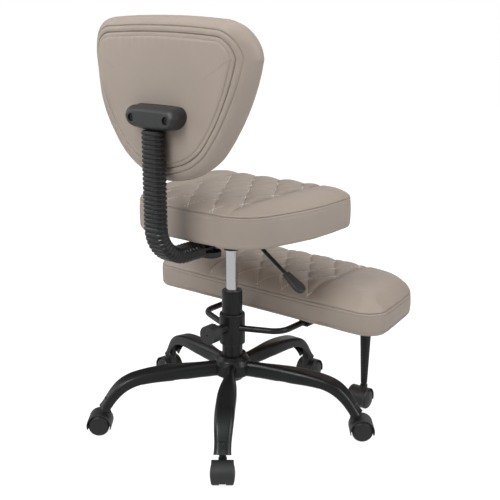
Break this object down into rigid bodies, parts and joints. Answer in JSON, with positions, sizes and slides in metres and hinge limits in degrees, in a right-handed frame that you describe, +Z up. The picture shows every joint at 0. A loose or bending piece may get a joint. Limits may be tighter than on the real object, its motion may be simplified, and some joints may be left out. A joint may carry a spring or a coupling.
{
  "type": "kneeling chair",
  "caption": "Kneeling chair: quilted swivel seat on a gas column with a backrest on a J-bar, and a wide padded knee stool on tapered legs, all on casters.",
  "frame": {"origin": "on the floor, on the axis of the gas column", "axes": "+Z up; the chair faces -Y, so the knee stool is at -Y and the backrest at +Y; the sitter's right is -X"},
  "size_m": [0.7008, 0.7008, 0.9884],
  "materials": {
    "black_paint": "glossy black powder coat",
    "chrome_tube": "polished chrome",
    "bright_steel": "ground steel",
    "black_plastic": "fine-grained moulded plastic",
    "caster_nylon": "satin nylon",
    "boot_rubber": "ribbed flexible sleeve, satin",
    "dark_bolts": "black oxide",
    "plywood": "unfinished birch plywood",
    "taupe_leather": "taupe artificial leather with fine grain and tone-on-tone stitching"
  },
  "bodies": {
    "base": {"base_hub": "black_paint", "base_leg_1": "black_paint", "base_leg_2": "black_paint", "base_leg_3": "black_paint", "base_leg_4": "black_paint", "base_leg_5": "black_paint", "column_tube": "black_paint", "guide_bush": "black_plastic", "thrust_bearing": "bright_steel", "base_caster_stems": "bright_steel"},
    "spindle": {"piston_rod": "bright_steel", "retaining_clip": "bright_steel"},
    "seat": {"pressure_tube": "chrome_tube", "rod_guide": "bright_steel", "seat_mechanism": "black_paint", "lever_pivot_pin": "bright_steel", "seat_bolts": "dark_bolts", "seat_board": "plywood", "seat_cushion": "taupe_leather"},
    "lever": {"lever_rod": "black_paint", "lever_paddle": "black_plastic"},
    "release_pin": {"release_pin": "bright_steel"},
    "backrest": {"j_bar": "black_paint", "j_bar_boot": "boot_rubber", "back_bracket": "black_paint", "bracket_bolts": "dark_bolts", "bracket_cover": "black_plastic", "cover_screws": "dark_bolts", "back_board": "plywood", "back_cushion": "taupe_leather", "back_rear_panel": "taupe_leather"},
    "bar_knob": {"j_bar_knob": "black_plastic"},
    "stool": {"stool_collar": "black_paint", "collar_bush": "black_plastic", "stool_arm_right": "black_paint", "stool_arm_left": "black_paint", "stool_board": "plywood", "stool_cushion": "taupe_leather", "stool_clamps": "black_paint", "stool_leg_right": "black_paint", "stool_leg_left": "black_paint", "stool_caster_stems": "bright_steel"},
    "collar_knob": {"collar_knob": "black_plastic"},
    "caster_1": {"caster_1_hood": "black_plastic"},
    "wheels_1": {"caster_1_wheels": "caster_nylon"},
    "caster_2": {"caster_2_hood": "black_plastic"},
    "wheels_2": {"caster_2_wheels": "caster_nylon"},
    "caster_3": {"caster_3_hood": "black_plastic"},
    "wheels_3": {"caster_3_wheels": "caster_nylon"},
    "caster_4": {"caster_4_hood": "black_plastic"},
    "wheels_4": {"caster_4_wheels": "caster_nylon"},
    "caster_5": {"caster_5_hood": "black_plastic"},
    "wheels_5": {"caster_5_wheels": "caster_nylon"},
    "caster_6": {"caster_6_hood": "black_plastic"},
    "wheels_6": {"caster_6_wheels": "caster_nylon"},
    "caster_7": {"caster_7_hood": "black_plastic"},
    "wheels_7": {"caster_7_wheels": "caster_nylon"}
  },
  "joints": [
    {"name": "seat_swivel", "type": "hinge", "parent": "base", "child": "spindle", "pos_m": [0, 0, 0.115], "axis": [0, 0, 1], "continuous": true},
    {"name": "gas_lift", "type": "slide", "parent": "spindle", "child": "seat", "axis": [0, 0, 1], "range_m": [-0.01, 0.06]},
    {"name": "lever_tilt", "type": "hinge", "parent": "seat", "child": "lever", "pos_m": [-0.03, 0, 0.479], "axis": [0, 1, 0], "range_deg": [0, 6], "stiffness_Nm_per_rad": 3, "springref_deg": -3.44},
    {"name": "release_pin_press", "type": "slide", "parent": "seat", "child": "release_pin", "axis": [0, 0, 1], "range_m": [-0.0034, 0]},
    {"name": "back_depth", "type": "slide", "parent": "seat", "child": "backrest", "axis": [0, 1, 0], "range_m": [-0.015, 0.02]},
    {"name": "bar_knob_turn", "type": "hinge", "parent": "seat", "child": "bar_knob", "pos_m": [0, 0.076, 0.446], "axis": [0, 0, 1], "continuous": true},
    {"name": "stool_swing", "type": "hinge", "parent": "base", "child": "stool", "pos_m": [0, 0, 0.24], "axis": [0, 0, 1], "range_deg": [-16, 16]},
    {"name": "collar_knob_turn", "type": "hinge", "parent": "stool", "child": "collar_knob", "pos_m": [0, 0.08, 0.246], "axis": [0, 1, 0], "continuous": true},
    {"name": "caster_1_swivel", "type": "hinge", "parent": "base", "child": "caster_1", "pos_m": [0, -0.313, 0.05], "axis": [0, 0, 1], "continuous": true},
    {"name": "caster_1_roll", "type": "hinge", "parent": "caster_1", "child": "wheels_1", "pos_m": [0, -0.332, 0.025], "axis": [1, 0, 0], "continuous": true},
    {"name": "caster_2_swivel", "type": "hinge", "parent": "base", "child": "caster_2", "pos_m": [0.29768, -0.09672, 0.05], "axis": [0, 0, 1], "continuous": true},
    {"name": "caster_2_roll", "type": "hinge", "parent": "caster_2", "child": "wheels_2", "pos_m": [0.31633, -0.10035, 0.025], "axis": [0.1908, 0.9816, 0], "continuous": true},
    {"name": "caster_3_swivel", "type": "hinge", "parent": "base", "child": "caster_3", "pos_m": [0.18398, 0.25322, 0.05], "axis": [0, 0, 1], "continuous": true},
    {"name": "caster_3_roll", "type": "hinge", "parent": "caster_3", "child": "wheels_3", "pos_m": [0.19874, 0.26518, 0.025], "axis": [-0.6293, 0.7771, 0], "continuous": true},
    {"name": "caster_4_swivel", "type": "hinge", "parent": "base", "child": "caster_4", "pos_m": [-0.18398, 0.25322, 0.05], "axis": [0, 0, 1], "continuous": true},
    {"name": "caster_4_roll", "type": "hinge", "parent": "caster_4", "child": "wheels_4", "pos_m": [-0.19593, 0.26799, 0.025], "axis": [-0.7771, -0.6293, 0], "continuous": true},
    {"name": "caster_5_swivel", "type": "hinge", "parent": "base", "child": "caster_5", "pos_m": [-0.29768, -0.09672, 0.05], "axis": [0, 0, 1], "continuous": true},
    {"name": "caster_5_roll", "type": "hinge", "parent": "caster_5", "child": "wheels_5", "pos_m": [-0.31245, -0.10868, 0.025], "axis": [0.6293, -0.7771, 0], "continuous": true},
    {"name": "caster_6_swivel", "type": "hinge", "parent": "stool", "child": "caster_6", "pos_m": [-0.213, -0.275, 0.05], "axis": [0, 0, 1], "continuous": true},
    {"name": "caster_6_roll", "type": "hinge", "parent": "caster_6", "child": "wheels_6", "pos_m": [-0.21399, -0.25603, 0.025], "axis": [-0.9986, -0.0523, 0], "continuous": true},
    {"name": "caster_7_swivel", "type": "hinge", "parent": "stool", "child": "caster_7", "pos_m": [0.213, -0.275, 0.05], "axis": [0, 0, 1], "continuous": true},
    {"name": "caster_7_roll", "type": "hinge", "parent": "caster_7", "child": "wheels_7", "pos_m": [0.21036, -0.25618, 0.025], "axis": [-0.9903, -0.1392, 0], "continuous": true}
  ],
  "couplings": [
    {"joint": "release_pin_press", "follows": "lever_tilt", "m_per_rad": -0.0315}
  ]
}
